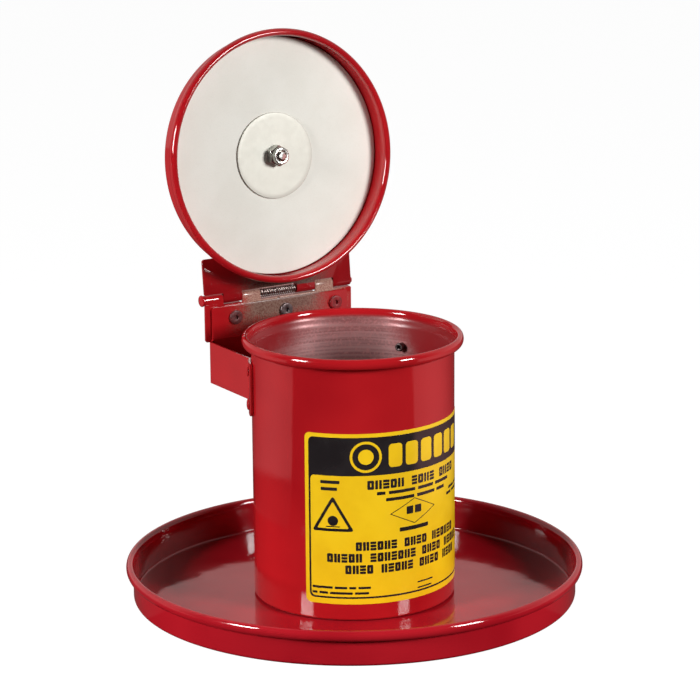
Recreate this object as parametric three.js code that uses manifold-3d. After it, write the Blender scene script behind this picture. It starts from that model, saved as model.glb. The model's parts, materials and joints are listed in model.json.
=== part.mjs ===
// Benchtop oily waste can: a round steel can with a hinged lid, standing in a rinse tray.
// Millimetres, +Z up, origin at the centre of the tray's underside.
// The label faces -Y, the hinge is at the back (+Y). The lid is built open.

import * as THREE from 'three';
import { mergeVertices } from 'three/addons/utils/BufferGeometryUtils.js';
import Module from 'manifold-3d';

const wasm = await Module();
wasm.setup();

// ---- driving dimensions ----

const GAP = 0.3; // air between pieces that touch
const ROUND = 48; // facets of the large turned pieces

// tray
const TRAY_R = 129.0; // outside of the wall
const TRAY_SHEET = 1.1;
const TRAY_CORNER = 1.6;
const TRAY_BEAD = { r: 130.75, z: 18.3, a: 2.25, b: 3.1 };

// can
const CAN_R = 58.5; // outside of the wall
const CAN_SHEET = 1.0;
const CAN_Z0 = TRAY_SHEET + GAP;
const CAN_CORNER = 1.2;
const CAN_BEAD = { r: 61.7, z: 152.1, a: 2.1, b: 3.06 };
const FLARE_Z = 145.5; // where the wall starts to flare into the bead
const FLARE_OUT = 0.5; // how far it stands out below the bead
const LIP_R = 54.5; // inner edge of the turned-in foot
const BASE_TOP = 7.6; // floor inside the can

// label
const LABEL_T = 0.3;
const LABEL_HALF = 59.9; // degrees to each side of -Y
const LABEL_Z = [11.4, 111.4];

// hinge
const AXIS_Y = 85.0;
const AXIS_Z = 163.7;
const OPEN_DEG = 96.07;
const KNUCKLE_R = 3.0;
const KNUCKLE_BORE = 1.9;
const PITCH = 12.6; // one knuckle
const LEAF_HALF = 50.4;
const LEAF_T = 1.2;
const LEAF_LEN = 24.6; // from the hinge axis to the far edge
const NOTCH = 3.3; // leaf edge to hinge axis beside the other leaf's knuckles
const PIN_R = 1.6;
const PIN_HEAD_R = 3.4;
const PIN_HEAD_T = 1.5;
const SPRING_SLOT_X = [-1.6, 0.4]; // cut in the lower leaf for the spring's leg
const SPRING_SLOT_DEPTH = 1.5;
const SPRING = { wire: 0.5, mean: 2.5, turns: 17, half: 11.9 };
const LOWER_RIVET_X = [-31, 3.5, 38];
const LOWER_RIVET_Z = 152.5;
const UPPER_RIVET_X = [-22, 0, 22];
const UPPER_RIVET_Y = 64.5; // with the lid closed

// rivets: small ones in the tabs and the lid, large ones in the web
const SMALL_SHANK = 1.6;
const LARGE_SHANK = 1.9;
const SMALL_HOLE = SMALL_SHANK + GAP;
const LARGE_HOLE = LARGE_SHANK + GAP;
const LINER_POCKET_R = 3.0; // clears the tails of the upper leaf's rivets

// bracket that carries the hinge
const BRACKET_T = 1.4;
const WEB_BACK = AXIS_Y - KNUCKLE_R - GAP;
const WEB_HALF = 46.4;
const WEB_TOP = 159.7;
const ARM_OUT = 49.1;
const ARM_Z = [115.1, 139.8];
const ARM_BEND = ARM_OUT - WEB_HALF;
const TAB_IN = CAN_R + GAP;
const TAB_OUT = TAB_IN + BRACKET_T;
const TAB_DEG = [19.0, 35.7];
const TAB_Z = [109.0, 139.8];
const TAB_CORNER = 3.0;
const TAB_RIVET_DEG = 27.5;
const TAB_RIVET_Z = [114.5, 134.5];
const TAB_RIVET_TAIL = 53.6; // inner end, from the can's axis
const ARM_END_Y = 34.5; // where the arms run into the tabs
const WEB_CORNER = 1.5;

// lid, measured closed
const LID_Y = 4.0; // centre of the lid
const PAN_R = 71.6;
const PAN_SHEET = 1.1;
const PAN_TOP = 160.4;
const PAN_CORNER = 3.0;
const PAN_BEAD = { r: 72.45, z: 146.35, a: 2.15, b: 3.1 };
const LINER_R = 70.0;
const LINER_Z = [155.5, 159.0];
const WASHER_R = 25.4;
const WASHER_T = 1.0;
const BOLT_R = 3.175;
const BOLT_HOLE = BOLT_R + 0.4;
const HEX_FLATS = 11.11;
const OUTER_WASHER_R = 9.5;
const OUTER_WASHER_T = 1.2;
const NUT_H = 7.9;
const BOLT_HEAD_H = 4.0;
const BOLT_REACH = 8.7; // bolt end below the liner washer

// ---- colours ----

const red = new THREE.MeshStandardMaterial({ color: 0x9c1216, roughness: 0.2, metalness: 0.0 });
const steel = new THREE.MeshStandardMaterial({ color: 0xb9b9b4, roughness: 0.35, metalness: 1.0 });
const zinc = new THREE.MeshStandardMaterial({ color: 0xc4c6b6, roughness: 0.4, metalness: 1.0 });
const liner = new THREE.MeshStandardMaterial({ color: 0xe3dfd6, roughness: 0.75, metalness: 0.0 });
const paper = new THREE.MeshStandardMaterial({ color: 0xe8c21a, roughness: 0.45, metalness: 0.0 });

// ---- helpers ----

const rad = THREE.MathUtils.degToRad;
const v2 = (x, y) => new THREE.Vector2(x, y);

// closed three.js geometry -> solid for joining and cutting
function solid(geometry) {
  const bare = geometry.clone();
  bare.deleteAttribute('normal');
  bare.deleteAttribute('uv');
  const merged = mergeVertices(bare, 1e-4);
  const index = merged.getIndex().array;
  const triVerts = [];
  for (let i = 0; i < index.length; i += 3) {
    const [a, b, c] = [index[i], index[i + 1], index[i + 2]];
    if (a !== b && b !== c && c !== a) triVerts.push(a, b, c);
  }
  return new wasm.Manifold(new wasm.Mesh({
    numProp: 3,
    vertProperties: new Float32Array(merged.attributes.position.array),
    triVerts: new Uint32Array(triVerts),
  }));
}

// solid -> flat-shaded three.js geometry
function geometryOf(body) {
  const mesh = body.getMesh();
  const geometry = new THREE.BufferGeometry();
  const positions = new Float32Array(mesh.vertProperties);
  geometry.setAttribute('position', new THREE.BufferAttribute(positions, 3));
  geometry.setIndex(new THREE.BufferAttribute(new Uint32Array(mesh.triVerts), 1));
  geometry.computeVertexNormals();
  return geometry;
}

function part(name, body, material) {
  const mesh = new THREE.Mesh(geometryOf(body), material);
  mesh.name = name;
  return mesh;
}

// points on an oval in the (r, z) plane, from one angle to another
function oval({ r, z, a, b }, fromDeg, toDeg, steps) {
  const points = [];
  for (let i = 0; i <= steps; i += 1) {
    const t = rad(fromDeg + ((toDeg - fromDeg) * i) / steps);
    points.push(v2(r + a * Math.cos(t), z + b * Math.sin(t)));
  }
  return points;
}

const fillet = (r, z, radius, fromDeg, toDeg, steps = 2) =>
  oval({ r, z, a: radius, b: radius }, fromDeg, toDeg, steps);

// turned body about +Z; the profile runs anticlockwise in (r, z)
function turned(profile, facets = ROUND) {
  const geometry = new THREE.LatheGeometry(profile, facets);
  geometry.rotateX(Math.PI / 2);
  return solid(geometry);
}

// profile that does not touch the axis, closed on itself
const ring = (profile, facets = ROUND) => turned([...profile, profile[0].clone()], facets);

// plan shape (XY) raised from z0 to z1
function raised(shape, z0, z1) {
  const geometry = new THREE.ExtrudeGeometry(shape, {
    depth: z1 - z0,
    bevelEnabled: false,
    curveSegments: 8,
  });
  geometry.translate(0, 0, z0);
  return solid(geometry);
}

function block(x0, x1, y0, y1, z0, z1) {
  const geometry = new THREE.BoxGeometry(x1 - x0, y1 - y0, z1 - z0);
  geometry.translate((x0 + x1) / 2, (y0 + y1) / 2, (z0 + z1) / 2);
  return solid(geometry);
}

// cylinder along x
function rodX(radius, x0, x1, y, z, facets = 16) {
  const geometry = new THREE.CylinderGeometry(radius, radius, x1 - x0, facets);
  geometry.rotateZ(Math.PI / 2);
  geometry.translate((x0 + x1) / 2, y, z);
  return solid(geometry);
}

// cylinder along z
function rodZ(radius, x, y, z0, z1, facets = 16) {
  const geometry = new THREE.CylinderGeometry(radius, radius, z1 - z0, facets);
  geometry.rotateX(Math.PI / 2);
  geometry.translate(x, y, (z0 + z1) / 2);
  return solid(geometry);
}

// cylinder along y
function rodY(radius, x, z, y0, y1, facets = 8) {
  const geometry = new THREE.CylinderGeometry(radius, radius, y1 - y0, facets);
  geometry.translate(x, (y0 + y1) / 2, z);
  return solid(geometry);
}

const joined = (bodies) => bodies.reduce((all, body) => all.add(body));

// turned body whose own axis is laid along a direction from a point
function placed(profile, point, direction, facets = 10) {
  const geometry = new THREE.LatheGeometry(profile, facets);
  const turn = new THREE.Quaternion();
  turn.setFromUnitVectors(new THREE.Vector3(0, 1, 0), direction.clone().normalize());
  geometry.applyQuaternion(turn);
  geometry.translate(point.x, point.y, point.z);
  return solid(geometry);
}

// blind rivet along +s: hollow tail at the start, domed head at the end
function rivetProfile({ tail, under, head, shankR, tailR, headR, headT }) {
  const bore = shankR * 0.62;
  return [
    v2(0, under - 0.6),
    v2(bore, under - 0.6),
    v2(bore, tail),
    v2(tailR, tail),
    v2(tailR, under),
    v2(shankR, under),
    v2(shankR, head),
    v2(headR, head),
    v2(headR * 0.8, head + headT * 0.8),
    v2(0, head + headT),
  ];
}

// ---- tray ----

const trayIn = TRAY_R - TRAY_SHEET;
const trayFilletIn = 0.7;
const rinseTray = turned([
  v2(0, 0),
  ...fillet(TRAY_R - TRAY_CORNER, TRAY_CORNER, TRAY_CORNER, -90, 0),
  ...oval(TRAY_BEAD, -141, 180, 8),
  v2(trayIn, TRAY_BEAD.z - 1.9),
  v2(trayIn, TRAY_SHEET + trayFilletIn),
  v2(trayIn - trayFilletIn, TRAY_SHEET),
  v2(0, TRAY_SHEET),
]);

// ---- can ----

const canIn = CAN_R - CAN_SHEET;
const canFilletIn = 0.5;
const tabRivetSides = [TAB_RIVET_DEG, 180 - TAB_RIVET_DEG];

const alongX = new THREE.Vector3(1, 0, 0);
const alongY = new THREE.Vector3(0, 1, 0);
const alongZ = new THREE.Vector3(0, 0, 1);
const outward = (deg) => new THREE.Vector3(Math.cos(rad(deg)), Math.sin(rad(deg)), 0);

const holeStart = TAB_RIVET_TAIL - 3;
const holeEnd = TAB_OUT + 3;
const tabRivetHole = [
  v2(0, holeStart),
  v2(SMALL_HOLE, holeStart),
  v2(SMALL_HOLE, holeEnd),
  v2(0, holeEnd),
];
const tabRivetHoles = joined(tabRivetSides.flatMap((deg) => TAB_RIVET_Z.map((z) =>
  placed(tabRivetHole, new THREE.Vector3(0, 0, z), outward(deg), 8))));

const canShell = ring([
  v2(LIP_R, CAN_Z0),
  ...fillet(CAN_R - CAN_CORNER, CAN_Z0 + CAN_CORNER, CAN_CORNER, -90, 0),
  v2(CAN_R, FLARE_Z),
  v2(CAN_R + FLARE_OUT, FLARE_Z + 2.6),
  ...oval(CAN_BEAD, -140, 180, 8),
  v2(canIn + 0.4 + FLARE_OUT, FLARE_Z + 3.2),
  v2(canIn, FLARE_Z + 0.2),
  v2(canIn, CAN_Z0 + CAN_SHEET + canFilletIn),
  v2(canIn - canFilletIn, CAN_Z0 + CAN_SHEET),
  v2(LIP_R, CAN_Z0 + CAN_SHEET),
]).subtract(tabRivetHoles);

const baseR = canIn - GAP;
const baseFoot = CAN_Z0 + CAN_SHEET + GAP;
const canBase = turned([
  v2(0, BASE_TOP - CAN_SHEET),
  v2(baseR - 2 * CAN_SHEET, BASE_TOP - CAN_SHEET),
  v2(baseR - CAN_SHEET, BASE_TOP - 2 * CAN_SHEET),
  v2(baseR - CAN_SHEET, baseFoot),
  v2(baseR - 0.3, baseFoot),
  v2(baseR, baseFoot + 0.4),
  v2(baseR, BASE_TOP - 1.2),
  v2(baseR - 1.2, BASE_TOP),
  v2(0, BASE_TOP),
]);

// ---- label ----

function ringSector(r0, r1, fromDeg, toDeg, steps) {
  const shape = new THREE.Shape();
  const at = (r, i) => {
    const t = rad(fromDeg + ((toDeg - fromDeg) * i) / steps);
    return [r * Math.cos(t), r * Math.sin(t)];
  };
  shape.moveTo(...at(r1, 0));
  for (let i = 1; i <= steps; i += 1) shape.lineTo(...at(r1, i));
  for (let i = steps; i >= 0; i -= 1) shape.lineTo(...at(r0, i));
  shape.closePath();
  return shape;
}

const labelIn = CAN_R + GAP;
const labelBody = raised(
  ringSector(labelIn, labelIn + LABEL_T, -90 - LABEL_HALF, -90 + LABEL_HALF, 22),
  LABEL_Z[0],
  LABEL_Z[1],
);

// ---- bracket ----

function channelShape() {
  const web = WEB_BACK;
  const front = WEB_BACK - BRACKET_T;
  const cy = web - ARM_BEND;
  const innerX = ARM_OUT - BRACKET_T;
  const half = [];
  for (let i = 0; i <= 4; i += 1) {
    const t = rad(90 - 22.5 * i);
    half.push([WEB_HALF + ARM_BEND * Math.cos(t), cy + ARM_BEND * Math.sin(t)]);
  }
  half.push([ARM_OUT, ARM_END_Y], [innerX, ARM_END_Y]);
  for (let i = 4; i >= 0; i -= 1) {
    const t = rad(90 - 22.5 * i);
    const r = ARM_BEND - BRACKET_T;
    half.push([WEB_HALF + r * Math.cos(t), cy + r * Math.sin(t)]);
  }
  const other = half.map(([x, y]) => [-x, y]).reverse();
  const shape = new THREE.Shape();
  shape.moveTo(0, web);
  for (const [x, y] of half) shape.lineTo(x, y);
  shape.lineTo(0, front);
  for (const [x, y] of other) shape.lineTo(x, y);
  shape.closePath();
  return shape;
}

function roundedRect(x0, x1, y0, y1, radius) {
  const shape = new THREE.Shape();
  shape.moveTo(x0 + radius, y0);
  shape.lineTo(x1 - radius, y0);
  shape.absarc(x1 - radius, y0 + radius, radius, -Math.PI / 2, 0);
  shape.lineTo(x1, y1 - radius);
  shape.absarc(x1 - radius, y1 - radius, radius, 0, Math.PI / 2);
  shape.lineTo(x0 + radius, y1);
  shape.absarc(x0 + radius, y1 - radius, radius, Math.PI / 2, Math.PI);
  shape.lineTo(x0, y0 + radius);
  shape.absarc(x0 + radius, y0 + radius, radius, Math.PI, 1.5 * Math.PI);
  return shape;
}

// shape drawn as (y, z), pushed along x from -half to +half
function pushedX(shape, half) {
  const geometry = new THREE.ExtrudeGeometry(shape, {
    depth: 2 * half,
    bevelEnabled: false,
    curveSegments: 4,
  });
  geometry.rotateX(Math.PI / 2);
  geometry.rotateZ(Math.PI / 2);
  geometry.translate(-half, 0, 0);
  return solid(geometry);
}

// shape drawn as (x, z), pushed along y from y0 to y1
function pushedY(shape, y0, y1) {
  const geometry = new THREE.ExtrudeGeometry(shape, {
    depth: y1 - y0,
    bevelEnabled: false,
    curveSegments: 4,
  });
  geometry.rotateX(Math.PI / 2);
  geometry.translate(0, y1, 0);
  return solid(geometry);
}

function tabs() {
  const right = raised(ringSector(TAB_IN, TAB_OUT, TAB_DEG[0], TAB_DEG[1], 6), ...TAB_Z);
  const left = raised(
    ringSector(TAB_IN, TAB_OUT, 180 - TAB_DEG[1], 180 - TAB_DEG[0], 6),
    ...TAB_Z,
  );
  const frontY = TAB_OUT * Math.sin(rad(TAB_DEG[0]));
  const pastTabs = TAB_OUT * Math.sin(rad(TAB_DEG[1])) + 2 * TAB_CORNER;
  const window = roundedRect(frontY, pastTabs, TAB_Z[0], TAB_Z[1], TAB_CORNER);
  return right.add(left).intersect(pushedX(window, TAB_OUT + 1));
}

const webFront = WEB_BACK - BRACKET_T;
const webPlate = pushedY(
  roundedRect(-WEB_HALF, WEB_HALF, ARM_Z[0], WEB_TOP, WEB_CORNER),
  webFront,
  WEB_BACK,
);

const webRivetHoles = joined(LOWER_RIVET_X.map((x) =>
  rodY(LARGE_HOLE, x, LOWER_RIVET_Z, webFront - 1, WEB_BACK + 1)));

const bracket = raised(channelShape(), ...ARM_Z)
  .add(webPlate)
  .add(tabs())
  .subtract(tabRivetHoles)
  .subtract(webRivetHoles);

const tabRivet = rivetProfile({
  tail: TAB_RIVET_TAIL,
  under: canIn - GAP,
  head: TAB_OUT + GAP,
  shankR: SMALL_SHANK,
  tailR: 2.5,
  headR: 3.3,
  headT: 1.1,
});
const tabRivets = [];
for (const deg of tabRivetSides) {
  for (const z of TAB_RIVET_Z) {
    tabRivets.push(placed(tabRivet, new THREE.Vector3(0, 0, z), outward(deg)));
  }
}

// ---- hinge ----

// Both leaves are pressed alike, one turned over. A leaf is drawn with the hinge axis at the
// origin and its plate hanging down, tangent to the front of the knuckles.
const KNUCKLE_ZONES = [0, 2, 6]; // in pitches from the left end; 3 and 4 are the spring's

function leaf(rivetX, rivetZ, rivetHoleR) {
  const front = -KNUCKLE_R;
  const back = front + LEAF_T;
  let body = pushedY(
    roundedRect(-LEAF_HALF, LEAF_HALF, -LEAF_LEN, -NOTCH, 1.0),
    front,
    back,
  );
  for (const zone of KNUCKLE_ZONES) {
    const x0 = -LEAF_HALF + zone * PITCH + GAP / 2;
    const x1 = x0 + PITCH - GAP;
    body = body
      .add(block(x0, x1, front, back, -NOTCH - 1.2, 0))
      .add(rodX(KNUCKLE_R, x0, x1, 0, 0));
  }
  return body
    .subtract(rodX(KNUCKLE_BORE, -LEAF_HALF - 1, LEAF_HALF + 1, 0, 0))
    .subtract(joined(rivetX.map((x) => rodY(rivetHoleR, x, rivetZ, front - 1, back + 1))));
}

const slotFront = -KNUCKLE_R - 1;
const slotBack = -KNUCKLE_R + LEAF_T + 1;
const slotLow = -NOTCH - SPRING_SLOT_DEPTH;
const springSlot = block(...SPRING_SLOT_X, slotFront, slotBack, slotLow, -NOTCH + 1);
const lowerLeaf = leaf(LOWER_RIVET_X, LOWER_RIVET_Z - AXIS_Z, LARGE_HOLE).subtract(springSlot);
const upperLeaf = leaf(UPPER_RIVET_X, UPPER_RIVET_Y - AXIS_Y, SMALL_HOLE);

const lowerRivet = rivetProfile({
  tail: webFront - GAP - 1.3,
  under: webFront - GAP,
  head: AXIS_Y - KNUCKLE_R + LEAF_T + GAP,
  shankR: LARGE_SHANK,
  tailR: 4.2,
  headR: 4.0,
  headT: 1.2,
});
const lowerRivets = LOWER_RIVET_X.map((x) =>
  placed(lowerRivet, new THREE.Vector3(x, 0, LOWER_RIVET_Z), alongY));

// pin: domed head at the left, slightly spread at the right
const pinLeft = LEAF_HALF + GAP;
const hingePin = placed(
  [
    v2(0, -pinLeft - PIN_HEAD_T),
    v2(PIN_HEAD_R * 0.6, -pinLeft - PIN_HEAD_T * 0.85),
    v2(PIN_HEAD_R * 0.92, -pinLeft - PIN_HEAD_T * 0.55),
    v2(PIN_HEAD_R, -pinLeft),
    v2(PIN_R, -pinLeft),
    v2(PIN_R, pinLeft),
    v2(PIN_R + 0.5, pinLeft + 0.1),
    v2(PIN_R + 0.3, pinLeft + 1.0),
    v2(0, pinLeft + 1.4),
  ],
  new THREE.Vector3(0, 0, 0),
  alongX,
  16,
);

class Coil extends THREE.Curve {
  getPoint(t, target = new THREE.Vector3()) {
    const turn = 2 * Math.PI * SPRING.turns * t;
    return target.set(
      SPRING.half * (2 * t - 1),
      SPRING.mean * Math.cos(turn),
      SPRING.mean * Math.sin(turn),
    );
  }
}

function springBody() {
  const wire = new THREE.Shape();
  const sides = 5;
  for (let i = 0; i < sides; i += 1) {
    const t = (2 * Math.PI * i) / sides;
    const x = SPRING.wire * Math.cos(t);
    const y = SPRING.wire * Math.sin(t);
    if (i === 0) wire.moveTo(x, y);
    else wire.lineTo(x, y);
  }
  wire.closePath();
  const geometry = new THREE.ExtrudeGeometry(wire, {
    steps: SPRING.turns * 7,
    bevelEnabled: false,
    extrudePath: new Coil(),
  });
  return solid(geometry);
}

// ---- lid, drawn closed round its own axis, at its own height ----

const panIn = PAN_R - PAN_SHEET;
const panFloor = PAN_TOP - PAN_SHEET;
const panCornerIn = PAN_CORNER - PAN_SHEET;
const leafRivetY = UPPER_RIVET_Y - LID_Y;

const upperRivetHoles = (radius, z0, z1) =>
  joined(UPPER_RIVET_X.map((x) => rodZ(radius, x, leafRivetY, z0, z1, 8)));

const lidPan = ring([
  v2(BOLT_HOLE, panFloor),
  ...fillet(panIn - panCornerIn, panFloor - panCornerIn, panCornerIn, 90, 0),
  v2(panIn, PAN_BEAD.z + 2.0),
  ...oval(PAN_BEAD, 180, 473, 7),
  ...fillet(PAN_R - PAN_CORNER, PAN_TOP - PAN_CORNER, PAN_CORNER, 0, 90, 3),
  v2(BOLT_HOLE, PAN_TOP),
]).subtract(upperRivetHoles(SMALL_HOLE, panFloor - 1, PAN_TOP + 1));

const lidLiner = ring([
  v2(BOLT_HOLE, LINER_Z[0]),
  v2(LINER_R - 0.5, LINER_Z[0]),
  v2(LINER_R, LINER_Z[0] + 0.5),
  v2(LINER_R, LINER_Z[1] - 1.9),
  v2(LINER_R - 1.9, LINER_Z[1]),
  v2(BOLT_HOLE, LINER_Z[1]),
]).subtract(upperRivetHoles(LINER_POCKET_R, LINER_Z[1] - 1.8, LINER_Z[1] + 1));

const washer = (outer, z0, z1, facets) => ring([
  v2(BOLT_HOLE, z0),
  v2(outer - 0.2, z0),
  v2(outer, z0 + 0.2),
  v2(outer, z1 - 0.2),
  v2(outer - 0.2, z1),
  v2(BOLT_HOLE, z1),
], facets);

const washerLow = LINER_Z[0] - GAP - WASHER_T;
const outerWasherTop = PAN_TOP + GAP + OUTER_WASHER_T;
const linerWasher = washer(WASHER_R, washerLow, LINER_Z[0] - GAP, 36);
const outerWasher = washer(OUTER_WASHER_R, PAN_TOP + GAP, outerWasherTop, 20);

// hexagon trimmed by a turned profile
function hexTrimmed(profile, z0, z1) {
  const geometry = new THREE.CylinderGeometry(1, 1, z1 - z0, 6);
  const corner = HEX_FLATS / Math.sqrt(3);
  geometry.scale(corner, 1, corner);
  geometry.rotateX(Math.PI / 2);
  geometry.translate(0, 0, (z0 + z1) / 2);
  return solid(geometry).intersect(turned(profile, 18));
}

// lock nut: hexagon against the washer, round collar at its free end
const nutTop = washerLow - GAP;
const nutEnd = nutTop - NUT_H;
const lockNut = hexTrimmed([
  v2(0, nutEnd),
  v2(4.7, nutEnd),
  v2(5.2, nutEnd + 0.5),
  v2(5.2, nutEnd + 2.3),
  v2(6.6, nutEnd + 3.3),
  v2(6.6, nutTop),
  v2(0, nutTop),
], nutEnd, nutTop).subtract(rodZ(BOLT_R + GAP, 0, 0, nutEnd - 1, nutTop + 1, 16));

const headLow = outerWasherTop + GAP;
const headTop = headLow + BOLT_HEAD_H;
const boltHead = hexTrimmed([
  v2(0, headLow),
  v2(6.6, headLow),
  v2(6.6, headTop - 0.6),
  v2(5.4, headTop),
  v2(0, headTop),
], headLow, headTop);
const boltEnd = washerLow - BOLT_REACH;
const lidBolt = turned([
  v2(0, boltEnd),
  v2(BOLT_R - 0.6, boltEnd),
  v2(BOLT_R, boltEnd + 0.6),
  v2(BOLT_R, headLow + 0.5),
  v2(0, headLow + 0.5),
], 16).add(boltHead);

const upperRivet = rivetProfile({
  tail: LINER_Z[1] - 1.5,
  under: panFloor - GAP,
  head: PAN_TOP + GAP + LEAF_T + GAP,
  shankR: SMALL_SHANK,
  tailR: 2.6,
  headR: 3.3,
  headT: 1.1,
});
const upperRivets = UPPER_RIVET_X.map((x) =>
  placed(upperRivet, new THREE.Vector3(x, leafRivetY, 0), alongZ));

// ---- assembly ----

const tray = new THREE.Group();
tray.name = 'tray';
tray.add(part('rinse_tray', rinseTray, red));

const can = new THREE.Group();
can.name = 'can';
can.add(part('can_shell', canShell, red));
can.add(part('can_base', canBase, red));
can.add(part('label', labelBody, paper));
can.add(part('hinge_bracket', bracket, red));
tabRivets.forEach((body, i) => can.add(part(`bracket_rivet_${i + 1}`, body, steel)));
lowerRivets.forEach((body, i) => can.add(part(`lower_leaf_rivet_${i + 1}`, body, steel)));

const hingeFixed = new THREE.Group();
hingeFixed.name = 'hinge_fixed_half';
hingeFixed.position.set(0, AXIS_Y, AXIS_Z);
hingeFixed.add(part('hinge_leaf_lower', lowerLeaf, red));
hingeFixed.add(part('hinge_pin', hingePin, steel));
hingeFixed.add(part('hinge_spring', springBody(), steel));
can.add(hingeFixed);

// the lid turns about the hinge axis, so its group's origin is there
const lid = new THREE.Group();
lid.name = 'lid';
lid.position.set(0, AXIS_Y, AXIS_Z);
lid.rotation.x = -rad(OPEN_DEG);

const leafUpper = part('hinge_leaf_upper', upperLeaf, red);
leafUpper.rotation.set(Math.PI / 2, Math.PI, 0);
lid.add(leafUpper);

const lidStack = new THREE.Group();
lidStack.name = 'lid_stack';
lidStack.position.set(0, LID_Y - AXIS_Y, -AXIS_Z);
lidStack.add(part('lid_pan', lidPan, red));
lidStack.add(part('lid_liner', lidLiner, liner));
lidStack.add(part('liner_washer', linerWasher, zinc));
lidStack.add(part('lid_lock_nut', lockNut, zinc));
lidStack.add(part('lid_bolt', lidBolt, zinc));
lidStack.add(part('lid_outer_washer', outerWasher, zinc));
upperRivets.forEach((body, i) => lidStack.add(part(`upper_leaf_rivet_${i + 1}`, body, steel)));
lid.add(lidStack);

const group = new THREE.Group();
group.name = 'oily_waste_can';
group.add(tray, can, lid);

export default group;
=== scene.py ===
"""Benchtop oily waste can on its rinse tray: fine meshes, materials, light and camera.

Sizes are in metres in the row frame: +Z up, label towards -Y, hinge at +Y.
The lid's pieces are drawn shut, then turned open about the hinge axis.
"""

import json
from math import acos, atan2, ceil, cos, degrees, pi, radians, sin, sqrt, tau

import bmesh
import bpy
from mathutils import Matrix, Vector


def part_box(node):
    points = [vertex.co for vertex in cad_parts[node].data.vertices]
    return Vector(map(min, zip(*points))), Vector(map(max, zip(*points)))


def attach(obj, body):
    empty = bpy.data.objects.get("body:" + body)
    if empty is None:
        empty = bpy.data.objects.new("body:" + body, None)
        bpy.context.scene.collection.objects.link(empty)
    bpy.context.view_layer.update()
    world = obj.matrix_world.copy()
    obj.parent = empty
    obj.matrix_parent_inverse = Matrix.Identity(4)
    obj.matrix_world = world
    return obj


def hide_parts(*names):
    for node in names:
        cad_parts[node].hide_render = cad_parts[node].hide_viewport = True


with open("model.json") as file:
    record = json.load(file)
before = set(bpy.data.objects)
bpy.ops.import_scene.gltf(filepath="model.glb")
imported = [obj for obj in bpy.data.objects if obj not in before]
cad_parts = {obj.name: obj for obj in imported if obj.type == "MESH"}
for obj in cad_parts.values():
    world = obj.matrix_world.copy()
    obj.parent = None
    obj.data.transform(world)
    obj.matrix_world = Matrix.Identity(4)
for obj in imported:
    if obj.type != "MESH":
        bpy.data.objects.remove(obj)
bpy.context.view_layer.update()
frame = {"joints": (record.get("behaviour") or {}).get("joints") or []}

MM = 0.001

# -------- sizes

TRAY_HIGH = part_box("rinse_tray")[1]
SHELL_LOW, SHELL_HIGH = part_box("can_shell")
BASE_LOW, BASE_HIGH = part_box("can_base")
LABEL_LOW, LABEL_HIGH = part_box("label")
BRACKET_LOW, BRACKET_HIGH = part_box("hinge_bracket")
LOWER_LEAF_LOW, LOWER_LEAF_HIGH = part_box("hinge_leaf_lower")

HINGE = next(j for j in frame["joints"] if j["name"] == "lid_hinge")
AXIS = Vector(HINGE["pos_m"])
LID_OPEN = radians(96.07)  # how far the lid stands from shut
OPEN = (
    Matrix.Translation(AXIS)
    @ Matrix.Rotation(-LID_OPEN, 4, "X")
    @ Matrix.Translation(-AXIS)
)

GAP = 0.3 * MM  # air that the frame keeps between touching pieces
ROUND = 256  # facets of the large turned pieces

TRAY_SHEET = 1.1 * MM
TRAY_BEAD = (2.25 * MM, 3.1 * MM)  # half width and half height of the rolled edge
TRAY_OUT = TRAY_HIGH.x - 4.0 * MM

CAN_SHEET = 1.0 * MM
CAN_OUT = SHELL_HIGH.x - 5.3 * MM
CAN_BEAD = (2.1 * MM, 3.06 * MM)
CAN_CORNER = 1.6 * MM

LABEL_R = CAN_OUT + 0.12 * MM
LABEL_HALF = radians(59.9)

BRACKET_SHEET = 1.4 * MM
WEB_BACK = BRACKET_HIGH.y
WEB_HALF = 46.4 * MM
WEB_TOP = BRACKET_HIGH.z
ARM_OUT = 49.1 * MM
ARM_TOP = 139.8 * MM
ARM_LOW = 115.1 * MM
TAB_LOW = BRACKET_LOW.z
TAB_END = radians(19.0)
TAB_MID_R = CAN_OUT + GAP + BRACKET_SHEET / 2

LEAF_SHEET = 1.2 * MM
LEAF_HALF = LOWER_LEAF_HIGH.x
LEAF_LENGTH = AXIS.z - LOWER_LEAF_LOW.z
KNUCKLE_R = 3.0 * MM
KNUCKLE = LEAF_HALF / 4  # length of one knuckle
KNUCKLE_GAP = 0.3 * MM
NOTCH = 3.3 * MM
CURL = radians(300)
PIN_R = 1.6 * MM
PIN_HEAD = 3.4 * MM

SPRING_WIRE = 0.42 * MM  # its half thickness
SPRING_R = 2.5 * MM  # from the pin's axis to the middle of the wire
SPRING_TURNS = 17
SPRING_HALF = 11.9 * MM  # half the coil's length

SMALL_SHANK = 1.6 * MM  # rivets of the tabs and the lid
SMALL_HEAD = 3.3 * MM
LARGE_SHANK = 1.9 * MM  # rivets of the web
SEAT = 0.1 * MM  # air under a rivet's head
LID_RIVET_PITCH = 22 * MM
LID_RIVET_Y = 64.5 * MM

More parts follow.
